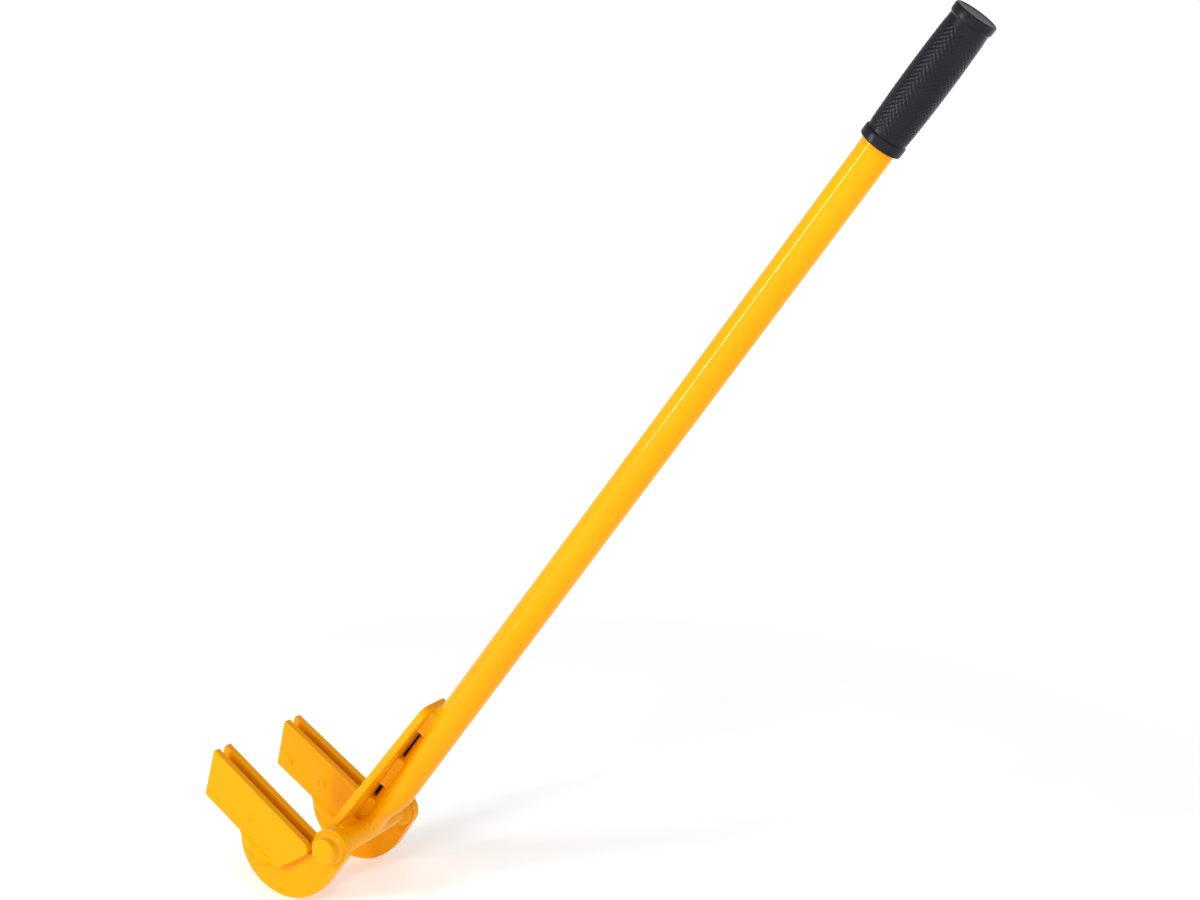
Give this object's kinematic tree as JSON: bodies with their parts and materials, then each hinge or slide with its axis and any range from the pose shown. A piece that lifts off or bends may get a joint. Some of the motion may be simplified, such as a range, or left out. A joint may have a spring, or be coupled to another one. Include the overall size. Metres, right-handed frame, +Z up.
{
  "type": "two-fork pallet lifting bar",
  "caption": "Hand lever with two channelled rocker forks on a welded cross bar, for prying the deck boards off pallets; steel tube handle with a rubber grip.",
  "frame": {"origin": "the middle of the cross bar's axis, half way between the two forks", "axes": "+Z is up with the tool leaning back as it does when its heels start to roll; +Y runs along the cross bar from the left fork to the right fork; the forks point towards -X and up, the handle towards +X and up"},
  "size_m": [0.749, 0.1532, 0.8461],
  "materials": {
    "painted_steel": "glossy yellow enamel",
    "painted_weld": "glossy yellow enamel over weld metal",
    "grip_rubber": "matte knurled rubber"
  },
  "bodies": {
    "root": {"handle_tube": "painted_steel", "cross_bar": "painted_steel", "gusset_plate": "painted_steel", "left_rocker_plate": "painted_steel", "left_outer_side_plate": "painted_steel", "left_inner_side_plate": "painted_steel", "right_rocker_plate": "painted_steel", "right_outer_side_plate": "painted_steel", "right_inner_side_plate": "painted_steel", "grip": "grip_rubber", "handle_saddle_weld": "painted_weld", "gusset_top_stitch_welds": "painted_weld", "gusset_middle_stitch_welds": "painted_weld", "gusset_lower_stitch_welds": "painted_weld", "gusset_foot_weld": "painted_weld", "gusset_back_weld": "painted_weld", "left_outer_bar_weld": "painted_weld", "left_inner_bar_weld": "painted_weld", "right_outer_bar_weld": "painted_weld", "right_inner_bar_weld": "painted_weld", "left_outer_plug_welds": "painted_weld", "left_inner_plug_welds": "painted_weld", "right_outer_plug_welds": "painted_weld", "right_inner_plug_welds": "painted_weld", "left_outer_edge_weld": "painted_weld", "left_inner_edge_weld": "painted_weld", "right_outer_edge_weld": "painted_weld", "right_inner_edge_weld": "painted_weld"}
  },
  "joints": []
}
